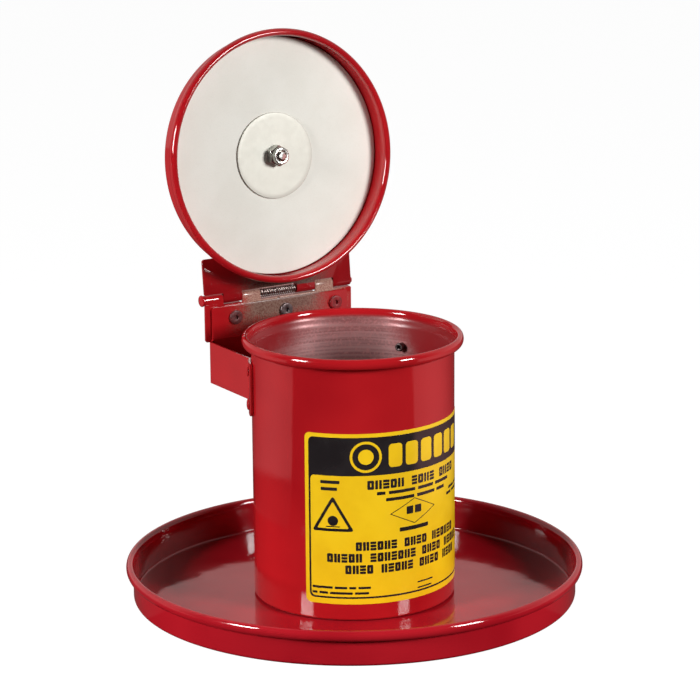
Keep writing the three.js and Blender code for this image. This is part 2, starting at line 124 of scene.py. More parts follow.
LID_Y = 4.0 * MM
PAN_SHEET = 1.1 * MM
PAN_OUT = 71.6 * MM
PAN_TOP = 160.4 * MM
PAN_CORNER = 3.0 * MM
PAN_BEAD = (2.15 * MM, 3.1 * MM)
PAN_BEAD_R = 72.45 * MM
PAN_BEAD_Z = 146.35 * MM
LINER_R = 70.0 * MM
LINER_Z = (155.5 * MM, 159.0 * MM)
WASHER_R = 25.4 * MM
WASHER_SHEET = 1.0 * MM
WASHER_LOW = LINER_Z[0] - WASHER_SHEET - 0.02 * MM
OUTER_WASHER_R = 9.5 * MM
OUTER_WASHER_SHEET = 1.2 * MM
BOLT_R = 3.175 * MM
BOLT_HOLE = BOLT_R + 0.4 * MM
BOLT_PITCH = 1.27 * MM
BOLT_REACH = 8.7 * MM  # from the liner washer to the bolt's end
BOLT_HEAD_H = 4.0 * MM
HEX_FLATS = 11.11 * MM
NUT_H = 7.9 * MM
SNUG = 0.05 * MM  # air between the bolt, its nut and their washers


# -------- mesh code


def arc(centre_r, centre_z, half_r, half_z, start, end, steps):
    """Points on an oval in the (r, z) plane; the angles are in degrees."""
    points = []
    for i in range(steps + 1):
        t = radians(start + (end - start) * i / steps)
        points.append((centre_r + half_r * cos(t), centre_z + half_z * sin(t)))
    return points


def linked(name, data):
    obj = bpy.data.objects.new(name, data)
    bpy.context.scene.collection.objects.link(obj)
    return obj


def finished(name, verts, faces, materials, slots=None, sharp=35):
    """Mesh object with outward faces, smooth shading and crisp edges."""
    mesh = bpy.data.meshes.new(name)
    mesh.from_pydata([tuple(v) for v in verts], [], faces)
    for material in materials:
        mesh.materials.append(material)
    if slots:
        mesh.polygons.foreach_set("material_index", slots)
    bm = bmesh.new()
    bm.from_mesh(mesh)
    bmesh.ops.remove_doubles(bm, verts=bm.verts, dist=1e-7)
    bmesh.ops.dissolve_degenerate(bm, edges=bm.edges, dist=1e-8)
    bmesh.ops.recalc_face_normals(bm, faces=bm.faces)
    bm.to_mesh(mesh)
    bm.free()
    mesh.shade_smooth()
    mesh.set_sharp_from_angle(angle=radians(sharp))
    return linked(name, mesh)


def lathe(name, profile, materials, facets=ROUND, place=None, slot_of=None, sharp=35):
    """Turned piece about +Z. The profile is closed, or starts and ends on the axis."""
    closed = profile[0][0] > 1e-9 or profile[-1][0] > 1e-9
    rows = len(profile)
    place = place or Matrix.Identity(4)
    verts = []
    for k in range(facets):
        t = tau * k / facets
        verts += [place @ Vector((r * cos(t), r * sin(t), z)) for r, z in profile]
    faces, slots = [], []
    for k in range(facets):
        here, there = k * rows, ((k + 1) % facets) * rows
        for i in range(rows if closed else rows - 1):
            j = (i + 1) % rows
            quad = [here + i, there + i, there + j, here + j]
            if profile[i][0] < 1e-9:
                quad = quad[1:]
            if profile[j][0] < 1e-9:
                quad = quad[:2] + quad[3:]
            faces.append(quad)
            slots.append(slot_of(profile[i], profile[j]) if slot_of else 0)
    return finished(name, verts, faces, materials, slots, sharp)


def radial(name, levels, radius_at, materials, facets, place=None, sharp=30):
    """Solid bar along +Z whose radius is a function of angle and height."""
    place = place or Matrix.Identity(4)
    verts = []
    for z in levels:
        for k in range(facets):
            t = tau * k / facets
            r = radius_at(t, z)
            verts.append(place @ Vector((r * cos(t), r * sin(t), z)))
    faces = [list(range(facets))]
    for i in range(len(levels) - 1):
        for k in range(facets):
            n = (k + 1) % facets
            a, b = i * facets, (i + 1) * facets
            faces.append([a + k, a + n, b + n, b + k])
    top = (len(levels) - 1) * facets
    faces.append([top + k for k in range(facets)])
    return finished(name, verts, faces, materials, None, sharp)


def tube(name, points, radius, materials, sides=10):
    """Round wire along a list of points."""
    verts = []
    side = None
    for i, point in enumerate(points):
        ahead = points[min(i + 1, len(points) - 1)]
        behind = points[max(i - 1, 0)]
        along = (ahead - behind).normalized()
        if side is None:
            side = along.orthogonal().normalized()
        side = (side - along * side.dot(along)).normalized()
        other = along.cross(side)
        for k in range(sides):
            t = tau * k / sides
            verts.append(point + side * (radius * cos(t)) + other * (radius * sin(t)))
    faces = [list(range(sides))]
    for i in range(len(points) - 1):
        for k in range(sides):
            n = (k + 1) % sides
            faces.append([i * sides + k, i * sides + n, (i + 1) * sides + n, (i + 1) * sides + k])
    faces.append([(len(points) - 1) * sides + k for k in range(sides)])
    return finished(name, verts, faces, materials, None, 40)


def filled(loops):
    """Flat bmesh in the (u, v) plane bounded by closed loops; inner loops are holes."""
    curve = bpy.data.curves.new("outline", "CURVE")
    curve.dimensions = "2D"
    curve.fill_mode = "BOTH"
    for loop in loops:
        spline = curve.splines.new("POLY")
        spline.points.add(len(loop) - 1)
        for point, (u, v) in zip(spline.points, loop):
            point.co = (u * 1000, v * 1000, 0, 1)
        spline.use_cyclic_u = True
    holder = bpy.data.objects.new("outline", curve)
    mesh = bpy.data.meshes.new_from_object(holder)
    bm = bmesh.new()
    bm.from_mesh(mesh)
    bmesh.ops.scale(bm, vec=(0.001, 0.001, 0), verts=bm.verts)
    bmesh.ops.remove_doubles(bm, verts=bm.verts, dist=1e-6)
    bpy.data.objects.remove(holder)
    bpy.data.curves.remove(curve)
    bpy.data.meshes.remove(mesh)
    return bm


def sheet_metal(name, loops, cuts, bend, thickness, materials, bevel=0.25 * MM, place=None):
    """Sheet piece: a flat outline, cut across at each u in cuts, bent by bend(u, v).

    bend gives the point on the middle of the sheet and the direction out of it.
    """
    bm = filled(loops)
    for u in cuts:
        geometry = bm.verts[:] + bm.edges[:] + bm.faces[:]
        bmesh.ops.bisect_plane(bm, geom=geometry, dist=1e-7, plane_co=(u, 0, 0), plane_no=(1, 0, 0))
    bm.verts.index_update()
    place = place or Matrix.Identity(4)
    outer, inner = [], []
    for v in bm.verts:
        point, out = bend(v.co.x, v.co.y)
        outer.append(place @ (point + out * (thickness / 2)))
        inner.append(place @ (point - out * (thickness / 2)))
    count = len(outer)
    faces = []
    for f in bm.faces:
        ring = [v.index for v in f.verts]
        faces.append(ring)
        faces.append([count + i for i in reversed(ring)])
    for e in bm.edges:
        if len(e.link_faces) == 1:
            a, b = e.verts[0].index, e.verts[1].index
            faces.append([a, b, count + b, count + a])
    bm.free()
    obj = finished(name, outer + inner, faces, materials)
    if bevel:
        edge = obj.modifiers.new("edge", "BEVEL")
        edge.width = bevel
        edge.segments = 2
        edge.limit_method = "ANGLE"
        edge.angle_limit = radians(55)
        applied(obj)
        obj.data.set_sharp_from_angle(angle=radians(50))
    return obj


def applied(obj):
    """Replaces the mesh by what its modifiers make of it."""
    depsgraph = bpy.context.evaluated_depsgraph_get()
    mesh = bpy.data.meshes.new_from_object(obj.evaluated_get(depsgraph))
    old = obj.data
    obj.modifiers.clear()
    obj.data = mesh
    mesh.name = obj.name
    bpy.data.meshes.remove(old)


def rounded_box(u0, u1, v0, v1, radius, steps=6):
    """Closed loop: a rectangle with round corners."""
    corners = [
        (u1 - radius, v0 + radius, -90),
        (u1 - radius, v1 - radius, 0),
        (u0 + radius, v1 - radius, 90),
        (u0 + radius, v0 + radius, 180),
    ]
    points = []
    for cu, cv, start in corners:
        points += arc(cu, cv, radius, radius, start, start + 90, steps)
    return points


def softened(corners, radius, steps=4):
    """Closed loop through the corners, each rounded to the radius given."""
    points = []
    count = len(corners)
    for i, here in enumerate(corners):
        p, q = Vector(here), Vector(corners[i - 1])
        n = Vector(corners[(i + 1) % count])
        a, b = (q - p).normalized(), (n - p).normalized()
        half = acos(max(-1, min(1, a.dot(b)))) / 2
        wanted = radius / max(1e-6, abs(sin(half) / cos(half)))
        reach = min(wanted, (q - p).length / 2, (n - p).length / 2)
        start, end = p + a * reach, p + b * reach
        for k in range(steps + 1):
            t = k / steps
            points.append(tuple(start.lerp(p, t).lerp(p.lerp(end, t), t)))
    return points


def spaced(start, end, step):
    """Evenly spaced numbers from start to end, no further apart than step."""
    count = max(1, ceil((end - start) / step))
    return [start + (end - start) * i / count for i in range(count + 1)]


def keep(obj, body, slot, *nodes):
    """Rides on a body and stands for CAD nodes; slot is not used."""
    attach(obj, body)
    if nodes:
        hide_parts(*nodes)
    return obj


# -------- material code


class Nodes:
    """Short calls that add nodes to a node tree; values can be numbers or other nodes' outputs."""

    def __init__(self, tree):
        self.tree = tree

    def put(self, value, socket):
        if isinstance(value, bpy.types.NodeSocket):
            self.tree.links.new(value, socket)
        else:
            socket.default_value = value

    def add(self, kind, settings=None, out=0, **inputs):
        """Adds one node. Inputs are given by name, or as i0, i1 and so on by number."""
        made = self.tree.nodes.new("ShaderNode" + kind)
        for key, value in (settings or {}).items():
            setattr(made, key, value)
        for key, value in inputs.items():
            socket = made.inputs[int(key[1:])] if key[1:].isdigit() else made.inputs[key.replace("_", " ")]
            self.put(value, socket)
        return made.outputs[out]

    def math(self, operation, a, b=0.0):
        return self.add("Math", {"operation": operation}, i0=a, i1=b)

    def times(self, a, b):
        return self.math("MULTIPLY", a, b)

    def plus(self, a, b):
        return self.math("ADD", a, b)

    def less(self, a, b):
        return self.math("SUBTRACT", a, b)

    def distance(self, a, b):
        """How far the point (a, b) is from (0, 0)."""
        return self.math("SQRT", self.plus(self.times(a, a), self.times(b, b)))

    def ramp(self, value, low, high, to_low=0.0, to_high=1.0, smooth=True):
        kind = "SMOOTHSTEP" if smooth else "LINEAR"
        return self.add("MapRange", {"interpolation_type": kind}, Value=value, From_Min=low,
                        From_Max=high, To_Min=to_low, To_Max=to_high)

    def mix(self, factor, a, b):
        """Colour that goes from a to b as the factor goes from 0 to 1."""
        return self.add("Mix", {"data_type": "RGBA"}, 2, i0=factor, i6=a, i7=b)


class Shader(Nodes):
    """A node material with one Principled BSDF, patterned in the object's own coordinates."""

    def __init__(self, name, **settings):
        self.material = bpy.data.materials.new(name)
        self.material.use_nodes = True
        super().__init__(self.material.node_tree)
        self.bsdf = self.tree.nodes["Principled BSDF"]
        for key, value in settings.items():
            self.bsdf.inputs[key.replace("_", " ")].default_value = value
        self.coords = self.tree.nodes.new("ShaderNodeTexCoord").outputs["Object"]

    def set(self, name, value):
        self.put(value, self.bsdf.inputs[name])

    def noise(self, scale, detail=3.0, roughness=0.55, stretch=(1, 1, 1)):
        where = self.coords
        if stretch != (1, 1, 1):
            where = self.add("Mapping", Vector=self.coords, Scale=stretch)
        return self.add("TexNoise", Vector=where, Scale=scale, Detail=detail, Roughness=roughness)

    def mottle(self, light, deep, scale, detail=3, low=0.3, high=0.7):
        """Colour that wanders between two tones."""
        return self.mix(self.ramp(self.noise(scale, detail), low, high), light, deep)

    def bump(self, height, distance, strength=1.0, normal=None):
        made = self.add("Bump", Height=height, Distance=distance, Strength=strength)
        if normal is not None:
            self.put(normal, made.node.inputs["Normal"])
        return made

    def rough(self, scale, detail, low, high):
        """Roughness that wanders between two values."""
        self.set("Roughness", self.ramp(self.noise(scale, detail), 0.3, 0.7, low, high))

    def grain(self, scale, detail, height):
        self.set("Normal", self.bump(self.noise(scale, detail), height))

    def axis(self, name):
        split = self.add("SeparateXYZ", Vector=self.coords)
        return split.node.outputs[name]


def dimmed(colour, share):
    return tuple(share * c for c in colour[:3]) + (1,)


WHITE = (1, 1, 1, 1)
RED = (0.46, 0.0105, 0.0145, 1)
RED_DEEP = (0.36, 0.006, 0.010, 1)


def enamel_colour(s, light=RED, deep=RED_DEEP):
    """Slow variation in how thick the paint lies."""
    return s.mottle(light, deep, 14, 2, 0.35)


def enamel_normal(s):
    """Faint waves of the pressed sheet with fine orange peel over them."""
    waves = s.bump(s.noise(28, 1.5), 0.00045)
    return s.bump(s.noise(420, 2), 0.000012, 1.0, waves)


def red_enamel(name="red_enamel", light=RED, deep=RED_DEEP):
    s = Shader(name, IOR=1.5)
    s.set("Base Color", enamel_colour(s, light, deep))
    s.set("Roughness", s.ramp(s.noise(60, 4), 0.3, 0.75, 0.05, 0.12))
    s.set("Normal", enamel_normal(s))
    return s.material


def can_paint():
    """Enamel outside; inside, matte primer with red overspray near the rim and to both sides, and a red
    darkened as painted shade.
    """
    s = Shader("can_paint", IOR=1.5)
    x, y, z = s.axis("X"), s.axis("Y"), s.axis("Z")
    r = s.distance(x, y)
    rim = SHELL_HIGH.z
    flare = s.ramp(z, rim - 8.8 * MM, rim - 5.0 * MM, 0, 1.6 * MM, False)
    wall = s.less(r, flare)
    inside = s.ramp(wall, CAN_OUT - 0.55 * MM, CAN_OUT - 0.45 * MM, 1, 0)
    below = s.ramp(z, rim - 6 * MM, rim - 2.5 * MM, 1, 0)
    side = s.plus(s.times(x, 0.80), s.times(y, -0.60))
    cloud = s.plus(s.times(s.noise(55, 5, 0.7), 0.5), s.times(s.noise(900, 2, 0.6), 0.35))
    drift = s.plus(s.ramp(side, 10 * MM, 46 * MM, 0, 1.0), s.ramp(side, -20 * MM, -58 * MM, 0, 0.7))
    high = s.ramp(z, rim - 30 * MM, rim - 6 * MM, 0, 0.35)
    spray = s.ramp(s.plus(s.plus(drift, high), cloud), 0.55, 1.35)
    bare = s.times(s.times(inside, below), s.less(1, spray))
    lines = s.noise(60, 3, 0.6, (0.15, 0.15, 14))  # run round the can
    primer = s.mix(s.ramp(lines, 0.35, 0.7), (0.215, 0.088, 0.088, 1), (0.35, 0.185, 0.18, 1))
    primer = s.mix(s.ramp(s.noise(700, 3, 0.7), 0.45, 0.7), primer, (0.40, 0.17, 0.165, 1))
    # Painted shade: inside the can the red is darkened; where the drift on the left covers the primer,
    # this darker red shows
    shaded_inner_red = s.mix(s.times(inside, below), enamel_colour(s), (0.24, 0.010, 0.013, 1))
    s.set("Base Color", s.mix(bare, shaded_inner_red, primer))
    s.set("Metallic", s.times(bare, 0.30))
    gloss = s.ramp(s.noise(60, 4), 0.3, 0.75, 0.05, 0.12)
    inner_gloss = s.times(inside, s.times(below, 0.22))
    rough = s.plus(s.plus(gloss, inner_gloss), s.times(bare, 0.14))
    s.set("Roughness", rough)
    scratch = s.bump(lines, 0.00006, 0.5, enamel_normal(s))
    s.set("Normal", s.add("Mix", {"data_type": "VECTOR"}, i0=bare, i4=enamel_normal(s), i5=scratch, out=1))
    return s.material


def shadowed_paint(name, centre_x, half, fade, shade=1.0, low=None, red_barrel=False, red=RED):
    """Red enamel that thins to brownish primer near centre_x, with a speckled edge.

    Below low, on the hinge barrel if red_barrel is set, and on the rear, the paint is whole.
    """
    s = Shader(name, IOR=1.5)
    x, y, z = s.axis("X"), s.axis("Y"), s.axis("Z")
    away = s.math("ABSOLUTE", s.less(x, centre_x))
    dots = s.times(s.less(s.noise(1300, 3, 0.7), 0.5), 22 * MM)
    drift = s.times(s.less(s.noise(45, 3), 0.5), 14 * MM)
    reach = s.plus(away, s.plus(dots, drift))
    cover = s.ramp(reach, half - fade, half + fade / 2)
    if low is not None:
        down = s.ramp(s.plus(z, s.plus(drift, dots)), low + 9 * MM, low - 5 * MM)
        cover = s.math("MAXIMUM", cover, down)
    if red_barrel:
        dy, dz = s.less(y, AXIS.y), s.less(z, AXIS.z)
        far = s.distance(dy, dz)
        cover = s.math("MAXIMUM", cover, s.ramp(far, 3.9 * MM, 3.5 * MM))
    facing = s.add("SeparateXYZ", out="Y", Vector=s.coords.node.outputs["Normal"])
    cover = s.math("MAXIMUM", cover, s.ramp(facing, 0.35, 0.60))
    # shade scales the primer's tone: above 1 it is a paler primer, below 1 it is partly painted shade
    dark = (0.20 * shade, 0.085 * shade, 0.064 * shade, 1)
    pale = (0.34 * shade, 0.205 * shade, 0.158 * shade, 1)
    primer = s.mix(s.ramp(s.noise(1100, 4, 0.75), 0.38, 0.60), dark, pale)
    s.set("Base Color", s.mix(cover, primer, enamel_colour(s, red, dimmed(red, 0.75))))
    s.set("Roughness", s.ramp(cover, 0, 1, 0.24, 0.08, False))
    s.grain(420, 2, 0.000012)
    return s.material


def bare_steel(name="bare_steel", colour=(0.50, 0.49, 0.47, 1), roughness=(0.22, 0.40)):
    s = Shader(name, Metallic=1.0)
    s.set("Base Color", s.mottle(colour, dimmed(colour, 0.62), 500, 3, 0.3, 0.75))
    s.rough(900, 3, *roughness)
    s.grain(1500, 2, 0.00001)
    return s.material


def spring_wire():
    """Drawn wire, bright along its crests, a little stained by the paint round it."""
    s = Shader("spring_wire", Metallic=1.0)
    s.set("Base Color", s.mottle((0.50, 0.43, 0.40, 1), (0.34, 0.26, 0.24, 1), 300, 2))
    s.rough(900, 2, 0.20, 0.30)
    return s.material


def dark_steel():
    return bare_steel("dark_steel", (0.17, 0.13, 0.13, 1), (0.30, 0.5))


def zinc_plate():
    """Dulled zinc plate: very faint crystals and a faint green-yellow cast."""
    s = Shader("zinc_plate", Metallic=0.35, IOR=1.5)
    cells = s.add("TexVoronoi", Vector=s.coords, Scale=900.0)
    cloud = s.ramp(s.noise(420, 5, 0.7), 0.3, 0.75)
    colour = s.mix(cloud, (0.560, 0.555, 0.495, 1), (0.545, 0.540, 0.480, 1))
    colour = s.mix(s.ramp(cells, 0.0, 0.7, 0, 0.25), colour, (0.585, 0.58, 0.515, 1))
    s.set("Base Color", colour)
    s.rough(300, 4, 0.52, 0.56)
    s.grain(900, 3, 0.00001)
    return s.material


def hardware_plate():
    s = Shader("hardware_plate", Metallic=1.0)
    s.set("Base Color", s.mottle((0.66, 0.67, 0.63, 1), (0.50, 0.50, 0.47, 1), 300))
    s.rough(700, 3, 0.14, 0.28)
    s.grain(1200, 2, 0.000008)
    return s.material


def liner_pad():
    """Matte off-white sheet with a fine tooth and faint mottling."""
    s = Shader("liner_pad", IOR=1.45)
    tooth = s.noise(1400, 3, 0.65)
    cloud = s.noise(30, 4, 0.6)
    colour = s.mix(s.ramp(cloud, 0.3, 0.72), (0.855, 0.84, 0.77, 1), (0.81, 0.79, 0.715, 1))
    colour = s.mix(s.ramp(tooth, 0.5, 0.8, 0, 0.25), colour, (0.66, 0.62, 0.56, 1))
    s.set("Base Color", colour)
    s.set("Roughness", s.ramp(tooth, 0.3, 0.7, 0.62, 0.80))
    s.set("Normal", s.bump(tooth, 0.00003, 0.7))
    return s.material


def print_ink(name, colour, worn):
    """Glossy label film in one printed colour, with slight unevenness in the ink."""
    s = Shader(name, IOR=1.5)
    s.set("Base Color", s.mottle(colour, worn, 45, 4, 0.35, 0.75))
    s.rough(200, 3, 0.16, 0.26)
    s.grain(40, 2, 0.00008)
    return s.material


def nylon():
    s = Shader("nylon", IOR=1.5)
    s.set("Base Color", s.mottle((0.75, 0.75, 0.73, 1), (0.62, 0.62, 0.60, 1), 400, 2))
    s.rough(800, 2, 0.35, 0.5)
    return s.material


enamel = red_enamel()
tray_enamel = red_enamel("tray_enamel", (0.45, 0.0105, 0.019, 1), (0.36, 0.006, 0.013, 1))
can_enamel = can_paint()
# The web's low primer tone is partly painted shade of the lid above it
web_paint = shadowed_paint("web_paint", 0, 31 * MM, 14 * MM, 0.66, ARM_TOP + 5 * MM)
lower_leaf_paint = shadowed_paint("lower_leaf_paint", 9 * MM, 36 * MM, 8 * MM, 1.35)
# Painted shade of the lid: the upper leaf's very low primer tone and its darker red
upper_leaf_paint_and_shade = shadowed_paint("upper_leaf_paint_and_shade", 4 * MM, 30 * MM, 16 * MM, 0.32, None, True,
                                  (0.30, 0.007, 0.010, 1))
steel = bare_steel()
rivet_tail = dark_steel()
zinc = zinc_plate()
plated = hardware_plate()
pad = liner_pad()
yellow_ink = print_ink("yellow_ink", (0.93, 0.60, 0.012, 1), (0.86, 0.53, 0.010, 1))
black_ink = print_ink("black_ink", (0.013, 0.011, 0.012, 1), (0.022, 0.019, 0.020, 1))
nylon_ring = nylon()


# -------- tray and can


def rolled_edge(wall_out, bead_r, bead_z, bead, steps=36):
    """Outside of a wall that ends in a curl: a narrow groove, then round the curl to its inner side."""
    half_w, half_h = bead
    groove = wall_out + 0.22 * MM
    mouth = bead_z - half_h * 0.62
    points = [(wall_out, mouth - 0.6 * MM), (wall_out, mouth + 1.0 * MM), (groove, mouth + 1.0 * MM)]
    start = degrees(atan2(-0.80, (groove + 0.16 * MM - bead_r) / half_w))
    points.append((groove, mouth + 0.25 * MM))
    return points + arc(bead_r, bead_z, half_w, half_h, start, 180, steps)


def make_tray():
    bead_r = TRAY_HIGH.x - TRAY_BEAD[0]
    bead_z = TRAY_HIGH.z - TRAY_BEAD[1]
    corner = 2.0 * MM
    inner = corner - TRAY_SHEET + 0.4 * MM
    wall_in = TRAY_OUT - TRAY_SHEET
    profile = [(0, 0), (TRAY_OUT - corner - 6 * MM, 0)]
    profile += arc(TRAY_OUT - corner, corner, corner, corner, -90, 0, 8)
    profile += rolled_edge(TRAY_OUT, bead_r, bead_z, TRAY_BEAD)
    profile += [(wall_in + 0.25 * MM, bead_z - 1.4 * MM), (wall_in, bead_z - 2.6 * MM)]
    profile += arc(wall_in - inner, TRAY_SHEET + inner, inner, inner, 0, -90, 8)
    profile += [(wall_in - inner - 4 * MM, TRAY_SHEET), (0, TRAY_SHEET)]
    obj = lathe("tray_fine", profile, [tray_enamel], 320)
    keep(obj, "tray", "red_enamel", "rinse_tray")


def make_can():
    bead_r = SHELL_HIGH.x - CAN_BEAD[0]
    bead_z = SHELL_HIGH.z - CAN_BEAD[1]
    low = SHELL_LOW.z
    wall_in = CAN_OUT - CAN_SHEET
    lip = 54.5 * MM
    flare = SHELL_HIGH.z - 9.6 * MM
    out = 1.2 * MM  # how far the neck flares below the curl
    profile = [(lip, low), (CAN_OUT - CAN_CORNER - 1 * MM, low)]
    profile += arc(CAN_OUT - CAN_CORNER, low + CAN_CORNER, CAN_CORNER, CAN_CORNER, -90, 0, 8)
    neck = [(0.0, 0.0), (1.2, 0.06), (2.4, 0.30), (3.4, 0.62), (4.2, 0.9)]
    profile += [(CAN_OUT + out * share, flare + rise * MM) for rise, share in neck]
    profile += rolled_edge(CAN_OUT + out, bead_r, bead_z, CAN_BEAD)[1:]
    inner_neck = [(4.6, 2.02), (3.6, 1.5), (2.4, 0.8), (1.2, 0.25), (0.0, 0.0)]
    profile += [(wall_in + share * MM, flare + rise * MM) for rise, share in inner_neck]
    inner = 0.9 * MM
    profile += arc(wall_in - inner, low + CAN_SHEET + inner, inner, inner, 0, -90, 6)
    profile += [(lip, low + CAN_SHEET)]
    obj = lathe("can_shell_fine", profile, [can_enamel], 320)
    keep(obj, "can", "red_enamel", "can_shell")


def make_base():
    """Pressed disc with a turned-down edge and two shallow stiffening steps."""
    top, low = BASE_HIGH.z, BASE_LOW.z
    edge = BASE_HIGH.x
    sheet = 1.0 * MM
    upper = [(0, top - 0.6 * MM), (34 * MM, top - 0.6 * MM), (36 * MM, top - 0.1 * MM), (44 * MM, top)]
    upper += arc(edge - 1.8 * MM, top - 1.8 * MM, 1.8 * MM, 1.8 * MM, 90, 0, 6)
    foot = [(edge, low), (edge - sheet, low)]
    under = arc(edge - 1.8 * MM, top - 1.8 * MM, 0.8 * MM, 0.8 * MM, 0, 90, 4)
    under += [(44 * MM, top - sheet), (36 * MM, top - 0.1 * MM - sheet)]
    under += [(34 * MM, top - 0.6 * MM - sheet), (0, top - 0.6 * MM - sheet)]
    obj = lathe("can_base_fine", upper + foot + under, [can_enamel], 128)
    keep(obj, "can", "red_enamel", "can_base")


# -------- label


def on_can(radius):
    """Bend a flat sheet round the can; u is measured along the wall from the front."""

    def bend(u, v):
        t = u / CAN_OUT
        out = Vector((sin(t), -cos(t), 0))
        return out * radius + Vector((0, 0, v)), out

    return bend


def bar(u0, u1, v0, v1):
    return rounded_box(u0, u1, v0, v1, min(0.35 * MM, (v1 - v0) / 2.5), 2)


def bars(start, low, height, widths, space):
    """A row of plain bars, in millimetres, that stands for a line of small print."""
    u = start
    loops = []
    for width in widths:
        loops.append(bar(u * MM, (u + width) * MM, low * MM, (low + height) * MM))
        u += width + space
    return loops


def token(kind, u0, u1, v0, v1, pen):
    """An open box, a pair of posts or three steps."""
    if kind == 0:
        hole = rounded_box(u0 + pen, u1 - pen, v0 + pen, v1 - pen, 0.2 * MM, 2)
        return [rounded_box(u0, u1, v0, v1, 0.6 * MM, 3), hole]
    if kind == 1:
        return [bar(u0, u0 + pen, v0, v1), bar(u1 - pen, u1, v0, v1)]
    middle = (v0 + v1) / 2
    return [bar(u0, u1, v, v + pen) for v in (v0, v1 - pen, middle - pen / 2)]


def tokens(start, low, height, groups, pitch):
    """Groups of tokens, in millimetres, in place of a line of large print."""
    loops = []
    u = start
    kind = 0
    for group in groups:
        for _ in range(group):
            end = u + pitch * 0.84
            loops += token(kind % 3, u * MM, end * MM, low * MM, (low + height) * MM, height * 0.29 * MM)
            kind += 1
            u += pitch
        u += pitch
    return loops


def polygon_ring(centre_u, centre_v, half_u, half_v, corners, turn, width, radius):
    """A closed band in the shape of a regular polygon scaled to half_u by half_v."""
    loops = []
    for shrink in (0, width):
        points = []
        for k in range(corners):
            t = radians(turn) + tau * k / corners
            scale = 1 - shrink / min(half_u, half_v)
            points.append((centre_u + half_u * scale * cos(t), centre_v + half_v * scale * sin(t)))
        loops.append(softened(points, radius if shrink == 0 else radius * 0.5))
    return loops


def disc(centre_u, centre_v, radius, steps=40):
    return arc(centre_u, centre_v, radius, radius, 0, 360 - 360 / steps, steps - 1)


def printed(name, loops, ink, height):
    """Ink as a thin raised film on the label."""
    film = 0.03 * MM
    us = [u for loop in loops for u, _ in loop]
    bend = on_can(LABEL_R + height)
    obj = sheet_metal(name, loops, spaced(min(us), max(us), 1.6 * MM)[1:-1], bend, film, [ink], bevel=0)
    return keep(obj, "can", "label_print")


def emblem(centre_u, centre_v, outer, inner):
    """Yellow ring with a yellow spot, left clear in the black header."""
    spot = disc(centre_u, centre_v, inner * 0.58)
    return [disc(centre_u, centre_v, outer)], [disc(centre_u, centre_v, inner), spot]


def make_label():
    half = CAN_OUT * LABEL_HALF
    low, high = LABEL_LOW.z, LABEL_HIGH.z
    film = 0.12 * MM
    sheet = rounded_box(-half, half, low, high, 3.2 * MM)
    body = sheet_metal("label_film", [sheet], spaced(-half, half, 1.2 * MM)[1:-1], on_can(LABEL_R),
                       film, [yellow_ink], bevel=0)
    keep(body, "can", "label_print", "label")

    lift = film / 2 + 0.02 * MM
    margin = 2.3 * MM
    inner = margin + 1.1 * MM
    header_low, header_high = 87.0 * MM, 109.2 * MM
    frame_out = rounded_box(-half + margin, half - margin, low + margin + 1 * MM, header_high, 3.0 * MM)
    frame_in = rounded_box(-half + inner, half - inner, low + inner + 1 * MM, header_low, 2.4 * MM)
    ring, spot = emblem(-25.7 * MM, 97.9 * MM, 9.1 * MM, 7.6 * MM)
    blocks = [(-12.6 + 10.6 * k, -4.2 + 10.6 * k) for k in range(6)]
    title = [rounded_box(u0 * MM, u1 * MM, 91.0 * MM, 104.6 * MM, 2.2 * MM) for u0, u1 in blocks]
    printed("label_border", [frame_out, frame_in] + ring + title, black_ink, lift)
    printed("label_emblem", spot, black_ink, lift)

    lines = [(-25.0, 78.8, 5.3, (5, 4, 4), 4.5), (-31.7, 43.1, 5.2, (6, 4, 6), 4.1),
             (-48.1, 36.2, 5.2, (5, 7, 4, 5), 4.1), (-37.7, 29.4, 5.2, (4, 5, 4, 4), 4.1)]
    small = [(-19.6, 75.3, 1.9, (5, 17, 12, 14), 2), (-14.3, 71.3, 1.9, (18, 14, 8), 2),
             (36.0, 68.6, 1.6, (9, 8), 1.6), (33.0, 65.6, 1.6, (7, 12), 1.6),
             (-1.5, 62.0, 4.6, (4.4, 4.6), 1.2), (-6.0, 52.4, 2.4, (20,), 1),
             (-51.6, 82.3, 1.9, (11,), 1), (-51.4, 78.3, 1.9, (9.4,), 1),
             (-57.0, 20.4, 1.4, (12, 7, 4, 7), 1.2), (-57.0, 17.2, 1.4, (3, 5, 13, 8), 1.2),
             (5.9, 20.0, 0.9, (12,), 1), (5.9, 16.6, 0.9, (11,), 1)]
    black = [loop for line in lines for loop in tokens(*line)]
    black += [loop for line in small for loop in bars(*line)]
    black += polygon_ring(3.9 * MM, 63.5 * MM, 16.0 * MM, 7.6 * MM, 4, 0, 0.5 * MM, 0.2 * MM)
    tall = 14.0 * MM
    black += polygon_ring(-44.6 * MM, 61.4 * MM, tall, tall, 3, 90, 3.4 * MM, 1.2 * MM)
    black += [disc(-44.6 * MM, 60.6 * MM, 3.0 * MM, 24), bar(-48.6 * MM, -40.6 * MM, 56.9 * MM, 57.5 * MM)]
    printed("label_print", black, black_ink, lift)


# -------- bracket

ARM_BEND = ARM_OUT - WEB_HALF - BRACKET_SHEET / 2  # at the middle of the sheet
FOOT_BEND = 2.0 * MM
ARM_MID = ARM_OUT - BRACKET_SHEET / 2
FOOT_Y = sqrt((TAB_MID_R + FOOT_BEND) ** 2 - (ARM_MID + FOOT_BEND) ** 2)
FOOT_ANGLE = atan2(FOOT_Y, ARM_MID + FOOT_BEND)
BEND_Y = WEB_BACK - BRACKET_SHEET / 2 - ARM_BEND
U_WEB = WEB_HALF
U_ARM = U_WEB + ARM_BEND * pi / 2
U_FOOT = U_ARM + BEND_Y - FOOT_Y
U_TAB = U_FOOT + FOOT_BEND * FOOT_ANGLE
U_END = U_TAB + TAB_MID_R * (FOOT_ANGLE - TAB_END)


